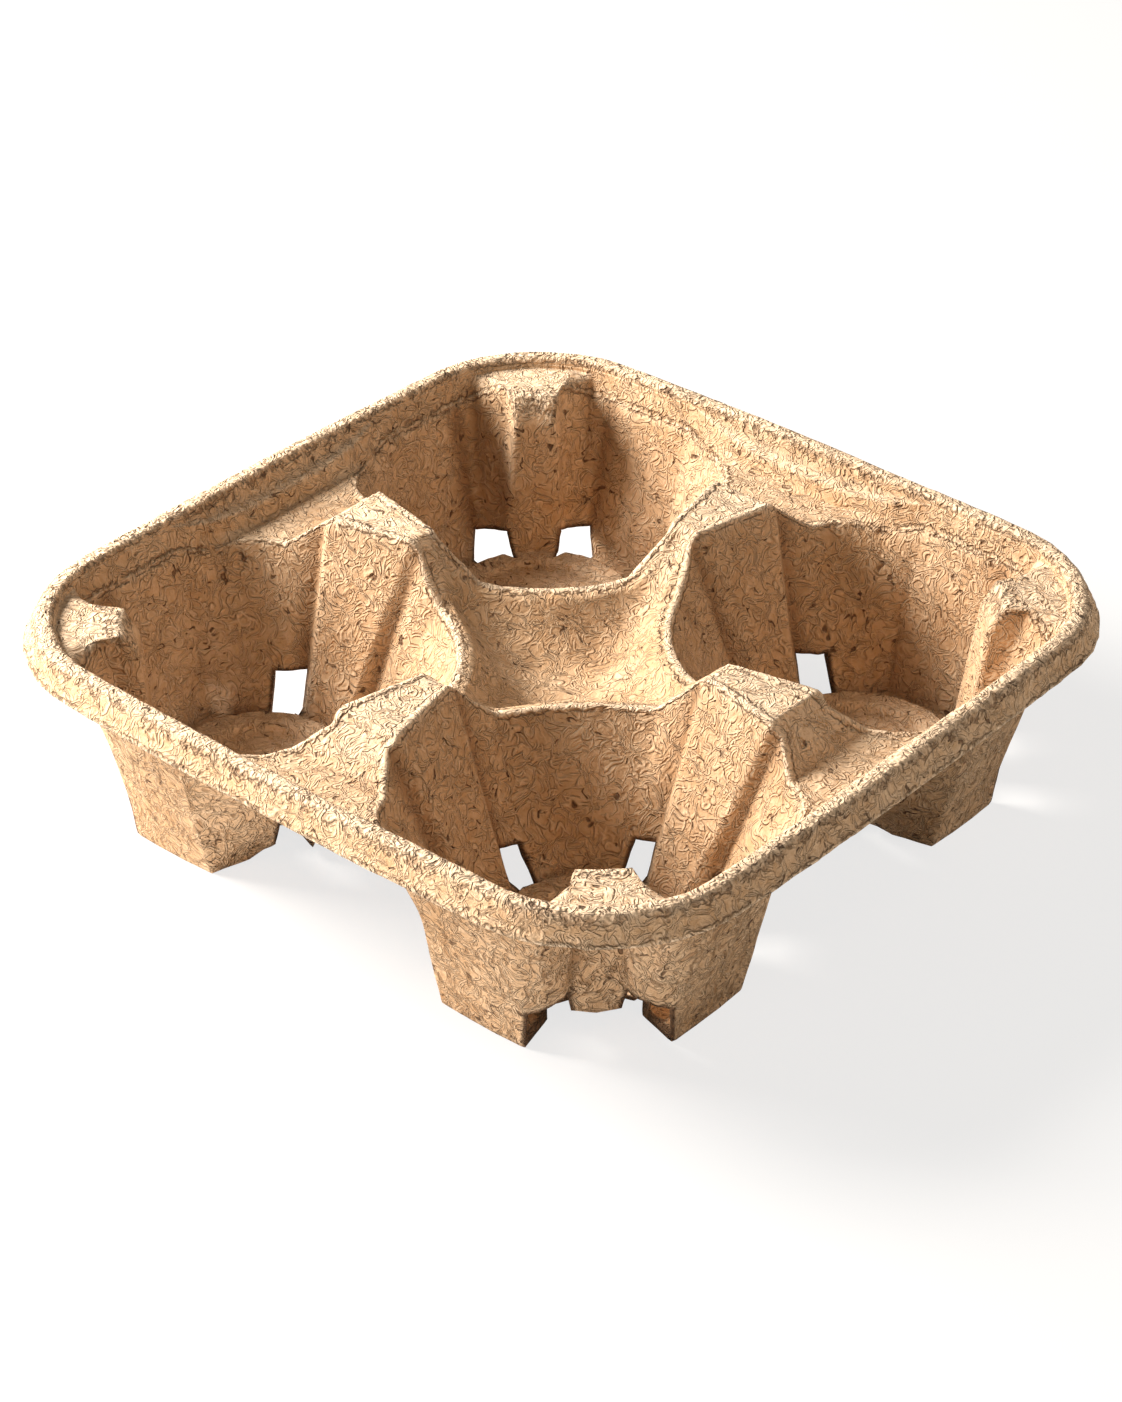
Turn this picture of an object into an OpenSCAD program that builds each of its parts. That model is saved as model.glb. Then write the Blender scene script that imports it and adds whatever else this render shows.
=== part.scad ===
// Carrier tray for four cups, moulded in one piece from paper pulp.
// One thin skin of even thickness forms everything: the turned down rim, four round cup
// pockets with feet, the tapered towers at the middle of each side, and the dish between them.
// +Z is up, the feet stand on Z = 0 and the centre of the tray is on the Z axis.

/* [Overall] */
// Width of the square tray over its lip, at the middle of a side
tray_w = 213; // [200:1:225]
// Height from the table to the top of the rim
tray_h = 53.5; // [48:0.5:60]
// Thickness of the moulded skin
wall = 2; // [1.4:0.1:2.2]
// Radius of the rim's corners
corner_r = 38; // [34:1:42]
// How far each side bows outward at its middle
side_bow = 3; // [0:0.5:4]

/* [Rim] */
// How far the lip hangs below the top of the rim
lip_h = 6.5; // [4:0.5:9]
// How far the lip leans outward
lip_flare = 2.7; // [1.5:0.1:4]
// Width of the flat top of the rim
rim_flat = 2.3; // [2:0.1:3.5]
// Chamfer along both edges of the rim's top
rim_edge = 1.2; // [0.8:0.1:1.6]
// Width of the stepped slope between the rim and a shelf
step_w = 6; // [4:0.5:7]

/* [Pockets] */
// Distance between the axes of two neighbouring pockets
pitch = 106; // [104:0.5:108]
// Radius of a pocket at its brim
brim_r = 48.7; // [46:0.1:50]
// Depth of the pocket floor below the rim
floor_drop = 46; // [42:0.5:48]
// Radius of the floor's raised ring
disc_r = 24.5; // [22:0.5:25]
// Radius of the dished middle of the floor
dish_r = 17.5; // [13:0.5:18.5]
// Depth of the dished middle
dish_drop = 1.6; // [0.5:0.1:2.5]
// Radius of the pocket wall at the floor, on the side of the tray's centre
seat_r = 29.5; // [28.5:0.5:32]
// Radius of the flat tower faces at the floor
facet_r = 26.5; // [26:0.5:28]
// Radius at the floor of the folds on both sides of a tower face
fold_r = 31; // [29.5:0.5:33]
// Distance from the pocket axis to the outer wall above a foot
foot_r = 33.5; // [31:0.5:35]

/* [Centre] */
// Depth of the ridge between a pocket and the centre
saddle_drop = 14; // [10:0.5:18]
// Width of that ridge
ridge_w = 3.4; // [3:0.1:4.5]
// Depth of the centre dish below the rim
well_drop = 27; // [22:0.5:32]
// Half the width of the flat bottom of the centre dish
well_flat = 12; // [6:0.5:16]

/* [Towers] */
// Depth of a tower's flat top below the rim
tower_drop = 1; // [0.5:0.5:3]
// Distance from the tray's centre to the inner end of a tower's top
tower_in = 47; // [45:0.5:49]
// Width of a tower's top at its inner end
tower_in_w = 7.8; // [7:0.2:10]
// Distance from the tray's centre to the outer end of a tower's top
tower_out = 69.7; // [67:0.5:72]
// Width of a tower's top at its outer end
tower_out_w = 17.8; // [16:0.2:20]
// Depth of the shelf between a tower and the rim
shelf_drop = 10; // [7:0.5:12]

/* [Corner ribs] */
// Depth of a rib's cap below the rim
cap_drop = 3; // [2.5:0.5:5]
// Radius from the pocket axis to the place where the cap starts to widen
flare_r = 39; // [38.5:0.5:41]
// Radius from the pocket axis to the nose of the cap
nose_r = 33; // [31:0.5:33.5]
// Length of the worn slope from the cap down to the rib's face
nose_run = 4; // [3:0.5:5]
// Drop of that slope
nose_drop = 6; // [4:0.5:7]
// Radius from the pocket axis to the rib's foot
rib_r = 24; // [23.5:0.5:25.5]

/* [Vents] */
// Height above the floor of the vent on the inner side of a tower
in_vent_h = 6; // [4:0.5:10]
// Height above the floor of the vent on the outer side of a tower
out_vent_h = 7.5; // [5:0.5:11]
// Height above the floor of a vent beside a rib
rib_vent_h = 5.5; // [4:0.5:9]
// Width at the bottom of the vent on the inner side of a tower
in_vent_w = 6.5; // [5:0.5:7.5]
// Width at the bottom of the vent on the outer side of a tower
out_vent_w = 9; // [7:0.5:11]
// Width at the bottom of a vent beside a rib
rib_vent_w = 8; // [6:0.5:9]
// Share by which the vents beside a tower narrow towards their tops
vent_pinch = 0.4; // [0:0.1:0.6]

/* [Hidden] */
// Kraft paper pulp
kraft = [0.77, 0.61, 0.45];

half = tray_w/2 - side_bow;
axis = pitch/2;
floor_z = tray_h - floor_drop;
tower_z = tray_h - tower_drop;
saddle_z = tray_h - saddle_drop;
shelf_z = tray_h - shelf_drop;
well_z = tray_h - well_drop;
cap_z = tray_h - cap_drop;
rim_in = lip_flare + 2*rim_edge + rim_flat;
// Where a pocket runs straight up into the rim
brow_drop = 5;
brow_run = 2;
// The chamfer along the pocket's brim
brim_edge = 1.2;
// Gap kept between the floor's ring and the pocket wall
ring_gap = 3;
// Depth of the channel round the floor away from the feet
channel_drop = 2;

// Angles are counted round a pocket's axis: 0 looks at the tray's centre, 180 at its corner.
function polar(f, r) = [axis + r*cos(225 + f), axis + r*sin(225 + f)];
function angle_of(p) = atan2(p.y - axis, p.x - axis) + 135;
function far(p) = norm([p.x - axis, p.y - axis]);
function mix(p, q, s) = p + s*(q - p);

in_corner = [tower_in, tower_in_w/2];
out_corner = [tower_out, tower_out_w/2];
f_in = angle_of(in_corner);
f_out = angle_of(out_corner);
f_shelf = 81;

// The brim from the centre to the tower: shares of the angle and of the climb
ridge_shares = [0, 0.21, 0.42, 0.6, 0.78, 0.93];
climb_shares = [0, 0, 0, 0.04, 0.45, 0.88];
// The tower's outer slope: shares of the angle and of the fall
slope_shares = [0.1, 0.5, 1];
fall_shares = [0.13, 0.53, 1];
// Rim side: angles of the brim, and places along half a side of the rim
brim_angles = [88, 95, 104, 116, 128, 140, 150, 159, 168.5, 169, 180];
side_shares = [0, 0.21, 0.41, 0.58, 0.73, 0.88];
turn_shares = [0.05, 0.3, 0.52, 0.82, 1];
side_n = len(side_shares);
rim_n = len(brim_angles);
inner_n = len(ridge_shares) + 3 + len(slope_shares);
ray_n = inner_n + rim_n;

// The outline of the lip: a rounded square whose sides bow outward
flat_half = half - corner_r;
function turn(k) = k < side_n ? 0 : 45*turn_shares[k - side_n];
function square_point(k) = k < side_n
    ? [half, flat_half*side_shares[k]]
    : [flat_half + corner_r*cos(turn(k)), flat_half + corner_r*sin(turn(k))];
function bowed(p) = [
    p.x + side_bow*(1 - pow(p.y/half, 2))*pow(p.x/half, 2),
    p.y + side_bow*(1 - pow(p.x/half, 2))*pow(p.y/half, 2)];
function rim_point(k, inset) = bowed(square_point(k)) - inset*[cos(turn(k)), sin(turn(k))];
// The stepped slope narrows where the pocket comes close to the rim
function slope_w(k) = min(step_w, max(brow_run/4, far(rim_point(k, rim_in)) - brim_r));
function slope_share(k) = slope_w(k)/step_w;
function slope_z(k) = tray_h - rim_edge - mix(brow_run/2, shelf_drop - rim_edge, slope_share(k));
function target(k) = rim_point(k, rim_in + slope_w(k));

function is_cap(k) = k > rim_n - 4;
function is_nose(k) = k > rim_n - 3;
// 1 where the pocket's wall runs straight up into the rim, 0 where a shelf parts them
function rise(k) = min(1, max(0, (brim_r + brow_run - far(target(k)))/brow_run));
function brim_of(k) = is_nose(k) ? nose_r : is_cap(k) ? flare_r : min(brim_r, far(target(k)) - brow_run);
function brim_z(k) = is_cap(k) ? cap_z : slope_z(k) - rise(k)*brow_drop;

// Plan and height of the brim on every ray
brims = concat(
    [for (s = [0 : len(ridge_shares) - 1])
        concat(polar(ridge_shares[s]*f_in, brim_r), mix(saddle_z, tower_z, climb_shares[s]))],
    [concat(in_corner, tower_z), concat((in_corner + out_corner)/2, tower_z), concat(out_corner, tower_z)],
    [for (s = [0 : len(slope_shares) - 1])
        concat(polar(mix(f_out, f_shelf, slope_shares[s]), far(out_corner)),
            mix(tower_z, shelf_z, fall_shares[s]))],
    [for (k = [0 : rim_n - 1]) concat(polar(brim_angles[k], brim_of(k)), brim_z(k))]);

// Plan of the wall at the height of the floor
in_vent_angle = 27;
out_vent_angle = 77.5;
rib_vent_angle = 157.5;
// Half the angle that a width takes up at a radius
function spread(width, radius) = width/radius*90/PI;
// Even steps across a vent
function across_vent(f, width, n) = [for (s = [0 : n]) f + (2*s/n - 1)*spread(width, fold_r)];
foot_angles = concat([0, 8, 15], across_vent(in_vent_angle, in_vent_w, 2), [38, 46, 54, 62],
    across_vent(out_vent_angle, out_vent_w, 2), [93, 100, 112, 124, 138],
    across_vent(rib_vent_angle, rib_vent_w, 3), [180]);
// Vents lie between these rays
vent_rays = [[3, 5], [10, 12], [18, 21]];
side_r = mix(facet_r, seat_r, 0.6);
function box_r(f) = foot_r/cos(f - 135);
foot_radii = [seat_r, seat_r, seat_r, seat_r, mix(seat_r, fold_r, 0.6), fold_r,
    facet_r, facet_r, facet_r, facet_r, fold_r, side_r, side_r,
    mix(side_r, foot_r, 0.2), mix(side_r, foot_r, 0.6), box_r(112), box_r(124), box_r(138), box_r(150),
    mix(rib_r, box_r(150), 0.66), mix(rib_r, box_r(150), 0.33), rib_r, rib_r];
// The top of a rib's vent climbs towards the rib
rib_vent_slant = 0.3;
function vent_top(i) = floor_z + (i < 8 ? in_vent_h : i < 14 ? out_vent_h
    : rib_vent_h*(1 - rib_vent_slant*min(1, max(0, (vent_rays[2][1] - i)/3))));
// How deep the channel round the floor goes: 1 in a foot, 0 beside the tower, -1 at the rib
channel_shares = [0, 0, 0, 0, 0, 0, 0, 0, 0, 0, 0, 0, 0, 0.35, 0.8, 1, 1, 1, 1, 0.45, 0.1, -1, -1];
function channel_z(i) = channel_shares[i] < 0 ? floor_z
    : mix(floor_z - channel_drop, wall, channel_shares[i]);

// Height of the dish along the line from the tray's centre to a tower
function dish_z(x) = mix(well_z, tower_z,
    pow(max(0, x - well_flat)/(tower_in - well_flat), 1.6));

// One ray of the skin's upper face, from the pocket floor out to the edge of its quarter
function to3(p, z) = [p.x, p.y, z];
function toward_axis(p, d) = [axis, axis] + ([p.x, p.y] - [axis, axis])*(1 - d/far(p));
function wall_point(i, z) =
    let (t = brim_low(i), b = to3(polar(foot_angles[i], foot_radii[i]), floor_z))
    mix(b, t, (z - b.z)/(t.z - b.z));
// The edge away from the tower leans towards the middle of the vent
function pinched_to(i) = i == vent_rays[0][0] ? i + 1 : i == vent_rays[1][1] ? i - 1 : i;
function vent_edge(i) =
    let (n = pinched_to(i))
    mix(wall_point(i, vent_top(i)), wall_point(n, vent_top(n)), vent_pinch);
function brim_low(i) =
    let (b = brims[i], nose = is_nose(i - inner_n))
    to3(toward_axis(b, nose ? nose_run : brim_edge), b.z - (nose ? nose_drop : brim_edge));
function ring_r(i) = min(disc_r, foot_radii[i] - ring_gap);
function goal(i) = i <= len(ridge_shares)
    ? let (f = i < len(ridge_shares) ? ridge_shares[i]*f_in : f_in,
        x = i < len(ridge_shares) ? axis - axis*tan(45 - f) : tower_in)
        [x, 0, i < len(ridge_shares) ? dish_z(x) : tower_z]
    : i < inner_n ? [brims[i].x, 0, brims[i].z]
    : to3(target(i - inner_n), slope_z(i - inner_n));
// Width of the strip along the brim: the ridge, or the part of a cap that widens
function strip_w(i) = is_nose(i - inner_n) ? flare_r - nose_r : ridge_w;
// Beyond the brim: shares of the way to the edge, and how the dish falls
out_shares = [0.34, 0.67];
function beyond(i) =
    let (b = brims[i], g = goal(i), d = norm([g.x - b.x, g.y - b.y]),
        w = min(strip_w(i), d*0.45)/d, dish = i < len(ridge_shares))
    dish ? let (r = [b.x, b.y] + w*([g.x, g.y] - [b.x, b.y]), rz = mix(b.z, g.z, 0.06))
        concat([to3(r, rz)], [for (s = out_shares)
            to3(mix(r, [g.x, g.y], s), mix(g.z, rz, pow(1 - s, 1.7)))], [g])
    : concat([for (s = concat([w], [for (o = out_shares) mix(w, 1, o)])) mix(b, g, s)], [g]);
function ray(i) = concat([
    to3(polar(foot_angles[i], dish_r), floor_z - dish_drop),
    to3(polar(foot_angles[i], dish_r + dish_drop), floor_z),
    to3(polar(foot_angles[i], ring_r(i)), floor_z),
    to3(polar(foot_angles[i], ring_r(i) + brim_edge/2), channel_z(i)),
    wall_point(i, channel_z(i)),
    vent_edge(i),
    brim_low(i),
    brims[i]], beyond(i));

// The rim: inset from the lip's edge, and height
step_shares = [[0.72, 0.5], [0.3, 0.42]];
function rim_ray(k) = concat(
    [for (s = step_shares) to3(rim_point(k, rim_in + s[0]*slope_w(k)),
        mix(tray_h - rim_edge, slope_z(k), s[1]))],
    [to3(rim_point(k, rim_in), tray_h - rim_edge),
    to3(rim_point(k, rim_in - rim_edge), tray_h),
    to3(rim_point(k, lip_flare + rim_edge), tray_h),
    to3(rim_point(k, lip_flare), tray_h - rim_edge),
    to3(rim_point(k, 0), tray_h - lip_h)]);

function half_ray(i) = i < inner_n ? ray(i) : concat(ray(i), rim_ray(i - inner_n));
half_rays = [for (i = [0 : ray_n - 1]) half_ray(i)];
function swapped(points) = [for (p = points) [p.y, p.x, p.z]];
// All rays of a quarter, round the pocket
rays = concat(half_rays, [for (i = [ray_n - 2 : -1 : 1]) swapped(half_rays[i])]);
col_n = len(rays);
row_n = 12;
last_row = len(half_rays[ray_n - 1]) - 1;
rim_first = inner_n;
rim_last = col_n - inner_n;
function in_rim(c) = c >= rim_first && c <= rim_last;
function across(c, p) = c < ray_n ? [p.x, -p.y, p.z] : [-p.x, p.y, p.z];
hub = [axis, axis, floor_z - dish_drop];

function at(c, r) = r < 0 ? hub : rays[(c + col_n) % col_n][r];
// The next point round the pocket, mirrored past the quarter's edge along the rim
function step_on(c, r, d) =
    r >= row_n - 1 && c == rim_first && d < 0 ? across(c, at(c + 1, r))
    : r >= row_n - 1 && c == rim_last && d > 0 ? across(c, at(c - 1, r))
    : at(c + d, r);
function further(c, r) = r < last_row && (r < row_n - 1 || in_rim(c)) ? at(c, r + 1)
    : r == last_row ? 2*at(c, r) - at(c, r - 1)
    : c == 0 ? [-at(c, r - 1).x, -at(c, r - 1).y, at(c, r - 1).z]
    : across(c, at(c, r - 1));
function unit(v) = v/norm(v);
function upward(v) = v.z < 0 ? -v : v;
// The lower face lies one wall below the upper, square to it, with mitred folds
function below(c, r) =
    let (p = at(c, r), round = step_on(c, r, 1) - step_on(c, r, -1),
        m = upward(unit(cross(round, p - at(c, r - 1)))),
        n = upward(unit(cross(round, further(c, r) - p))))
    p - wall*(m + n)/(1 + m*n);

function row_count(c) = in_rim(c) ? last_row + 1 : row_n;
offsets = [for (c = 0, o = 0; c < col_n; o = o + row_count(c), c = c + 1) o];
point_n = offsets[col_n - 1] + row_count(col_n - 1);
// Points on a line of symmetry stay on it
function on_side(c, r) = r == row_n - 1 && (c <= rim_first || c >= rim_last)
    || r >= row_n && (c == rim_first || c == rim_last);
function settled(c, r, p) =
    let (side = on_side(c, r))
    [side && (c == 0 || c >= ray_n) ? 0 : p.x, side && c < ray_n ? 0 : p.y, max(0, p.z)];
upper = concat([for (c = [0 : col_n - 1]) for (p = rays[c]) p], [hub]);
lower = concat(
    [for (c = [0 : col_n - 1]) for (r = [0 : row_count(c) - 1]) settled(c, r, below(c, r))],
    [hub - [0, 0, wall]]);
under = len(upper);
function id(c, r) = offsets[(c + col_n) % col_n] + r;
function quad(a, b, c, d) = [[a, b, c], [a, c, d]];

// Vents leave cells of the grid out: the columns between their rays, and these rows
vent_rows = [2, 4];
function ray_of(c) = c < ray_n - 1 ? c : col_n - 1 - c;
function in_vent_rays(i) = len([for (v = vent_rays) if (i >= v[0] && i < v[1]) v]) > 0;
function is_vent(c, r) =
    r >= vent_rows[0] && r <= vent_rows[1] && in_vent_rays(ray_of((c + col_n) % col_n));

// Cells of the grid: column and row of the corner nearest the pocket's axis
cells = concat(
    [for (c = [0 : col_n - 1]) for (r = [0 : row_n - 2]) [c, r]],
    [for (c = [rim_first : rim_last - 1]) for (r = [row_n - 1 : last_row - 1]) [c, r]]);
// Both halves of a quarter split their cells the same way, mirrored
function split(c, r) = c < ray_n - 1
    ? quad(id(c, r), id(c + 1, r), id(c + 1, r + 1), id(c, r + 1))
    : quad(id(c + 1, r), id(c + 1, r + 1), id(c, r + 1), id(c, r));
skin = concat(
    [for (c = [0 : col_n - 1]) [point_n, id(c + 1, 0), id(c, 0)]],
    [for (q = cells) if (!is_vent(q[0], q[1])) each split(q[0], q[1])]);
// The walls through the skin's thickness: round each vent, and along the lip
function through(a, b) = quad(b, a, a + under, b + under);
vent_sides = [for (q = cells) if (is_vent(q[0], q[1])) let (c = q[0], r = q[1]) each concat(
    is_vent(c, r - 1) ? [] : through(id(c + 1, r), id(c, r)),
    is_vent(c, r + 1) ? [] : through(id(c, r + 1), id(c + 1, r + 1)),
    is_vent(c - 1, r) ? [] : through(id(c, r), id(c, r + 1)),
    is_vent(c + 1, r) ? [] : through(id(c + 1, r + 1), id(c + 1, r)))];
lip_side = [for (c = [rim_first : rim_last - 1]) each through(id(c + 1, last_row), id(c, last_row))];

quarter_points = concat(upper, lower);
quarter_faces = concat(
    skin,
    [for (f = skin) [f[2] + under, f[1] + under, f[0] + under]],
    vent_sides,
    lip_side);
quarter_signs = [[1, 1], [-1, 1], [-1, -1], [1, -1]];

module tray() {
    color(kraft)
        polyhedron(
            points = [for (s = quarter_signs) for (p = quarter_points) [s.x*p.x, s.y*p.y, p.z]],
            faces = [for (q = [0 : len(quarter_signs) - 1]) for (f = quarter_faces)
                let (base = q*len(quarter_points), g = [for (v = f) v + base])
                quarter_signs[q].x*quarter_signs[q].y > 0 ? g : [g[2], g[1], g[0]]]);
}

tray();
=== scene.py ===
# A carrier tray for four cups, pressed in one piece from kraft paper pulp.
# The skin is worked out from its sizes as a grid of folded lines, then rounded, roughened and given a
# fibre finish.
import math

import bpy
import numpy as np
from mathutils import Matrix, Vector


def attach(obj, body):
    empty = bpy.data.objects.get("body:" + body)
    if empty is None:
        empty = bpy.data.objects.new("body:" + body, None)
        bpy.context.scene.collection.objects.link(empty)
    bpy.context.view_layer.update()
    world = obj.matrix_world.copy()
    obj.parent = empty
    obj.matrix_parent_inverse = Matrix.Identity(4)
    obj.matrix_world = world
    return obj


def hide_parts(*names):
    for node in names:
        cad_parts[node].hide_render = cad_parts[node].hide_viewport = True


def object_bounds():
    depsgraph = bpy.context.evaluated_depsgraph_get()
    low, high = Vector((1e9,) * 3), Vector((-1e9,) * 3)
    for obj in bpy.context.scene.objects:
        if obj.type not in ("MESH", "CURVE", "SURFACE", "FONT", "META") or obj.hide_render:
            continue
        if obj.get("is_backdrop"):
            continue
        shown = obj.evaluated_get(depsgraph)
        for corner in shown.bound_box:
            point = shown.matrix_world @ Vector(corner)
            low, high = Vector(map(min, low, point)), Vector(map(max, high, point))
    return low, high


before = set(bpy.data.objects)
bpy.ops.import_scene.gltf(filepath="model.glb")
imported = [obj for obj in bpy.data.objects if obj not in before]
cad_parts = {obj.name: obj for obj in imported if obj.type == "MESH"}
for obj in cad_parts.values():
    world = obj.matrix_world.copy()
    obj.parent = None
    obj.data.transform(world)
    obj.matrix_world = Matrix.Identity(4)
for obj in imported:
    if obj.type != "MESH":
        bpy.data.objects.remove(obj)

cadLow, cadHigh = (np.array(corner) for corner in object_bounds())
mm = 0.001

# Sizes in millimetres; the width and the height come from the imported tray
tray = {
    "width": (cadHigh[0] - cadLow[0])/mm, "height": (cadHigh[2] - cadLow[2])/mm, "wall": 2.0,
    # The rim and its lip
    "cornerRadius": 38, "sideBow": 3, "lipDrop": 6.5, "lipFlare": 2.7, "lipLine": 0.25,
    "rimFlat": 2.3, "rimEdge": 1.2, "stepWidth": 6,
    # The pockets: where they stand, and radii from their axis
    "pitch": 106, "brimRadius": 48.7, "brimEdge": 1.2, "browDrop": 5, "browRun": 2,
    "seatRadius": 29.5, "facetRadius": 26.5, "foldRadius": 31.5, "footRadius": 33.5,
    "grooveDepth": 1.8, "grooveAtBrim": 0.8, "grooveSink": 0.3,  # the last two are shares of the depth
    # Their floors
    "floorDrop": 46, "ringRadius": 24.5, "ringGap": 3, "dishRadius": 17.5, "dishDrop": 1.6,
    "channelDrop": 2,
    # The saddles, the dish in the middle and the towers
    "saddleDrop": 14, "ridgeWidth": 3.4, "wellDrop": 27, "wellFlat": 12,
    "towerDrop": 1, "towerIn": 47, "towerInHalf": 3.9, "towerOut": 69.7, "towerOutHalf": 8.9,
    "shelfDrop": 10,
    # The corner ribs and their hoods
    "capDrop": 3, "flareRadius": 39, "noseRadius": 33, "noseRun": 4, "noseDrop": 6, "ribRadius": 24,
    # The vents; slant and pinch are shares
    "innerVentHeight": 6, "outerVentHeight": 7.5, "ribVentHeight": 6.3, "ribVentSlant": 0.45,
    "ventPinch": 0.4,
}

quarterAxis = tray["pitch"]/2
rimTop = tray["height"]
floorLevel = rimTop - tray["floorDrop"]
pocketMiddle = np.array([quarterAxis, quarterAxis, floorLevel - tray["dishDrop"]])
wallDown = np.array([0, 0, tray["wall"]])
rimInset = tray["lipFlare"] + 2*tray["rimEdge"] + tray["rimFlat"]


def mix(a, b, share):
    return a + (b - a)*share


def aroundPocket(angle, radius):
    # Angle 0 looks from the pocket's axis to the tray's centre, 180 to its corner
    turn = np.radians(225 + np.asarray(angle, float))
    return np.stack([quarterAxis + radius*np.cos(turn), quarterAxis + radius*np.sin(turn)], -1)


def fromAxis(points):
    return np.hypot(points[..., 0] - quarterAxis, points[..., 1] - quarterAxis)


def angleOf(point):
    return math.degrees(math.atan2(point[1] - quarterAxis, point[0] - quarterAxis)) + 135


def withHeight(plan, height):
    height = np.broadcast_to(height, plan.shape[:-1])
    return np.concatenate([plan, height[..., None]], -1)


# The outline of the lip from the middle of a side to the corner: a rounded square whose sides bow outward
sideShares = np.array([0, 0.21, 0.41, 0.58, 0.73, 0.88, 1, 1, 1, 1, 1])
turnAngles = 45*np.array([0, 0, 0, 0, 0, 0, 0.05, 0.3, 0.52, 0.82, 1])
halfSide = tray["width"]/2 - tray["sideBow"]
flatHalf = halfSide - tray["cornerRadius"]


def rimPlan(inset):
    turn = np.radians(turnAngles)
    onCorner = turnAngles > 0
    x = np.where(onCorner, flatHalf + tray["cornerRadius"]*np.cos(turn), halfSide)
    y = np.where(onCorner, flatHalf + tray["cornerRadius"]*np.sin(turn), flatHalf*sideShares)
    bowX = x + tray["sideBow"]*(1 - (y/halfSide)**2)*(x/halfSide)**2
    bowY = y + tray["sideBow"]*(1 - (x/halfSide)**2)*(y/halfSide)**2
    inset = np.broadcast_to(inset, turn.shape)
    return np.stack([bowX - inset*np.cos(turn), bowY - inset*np.sin(turn)], -1)


# Rays and rows of the grid of folds. Vents are left out between these rays and in these rows; grooves run
# up two of their sides, beside the tower faces.
ventRays = ((3, 5), (10, 12), (18, 21))
ventRows = (3, 5)
grooveRays = (5, 10)
innerWallEnd, outerWallEnd = 8, 14


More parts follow.
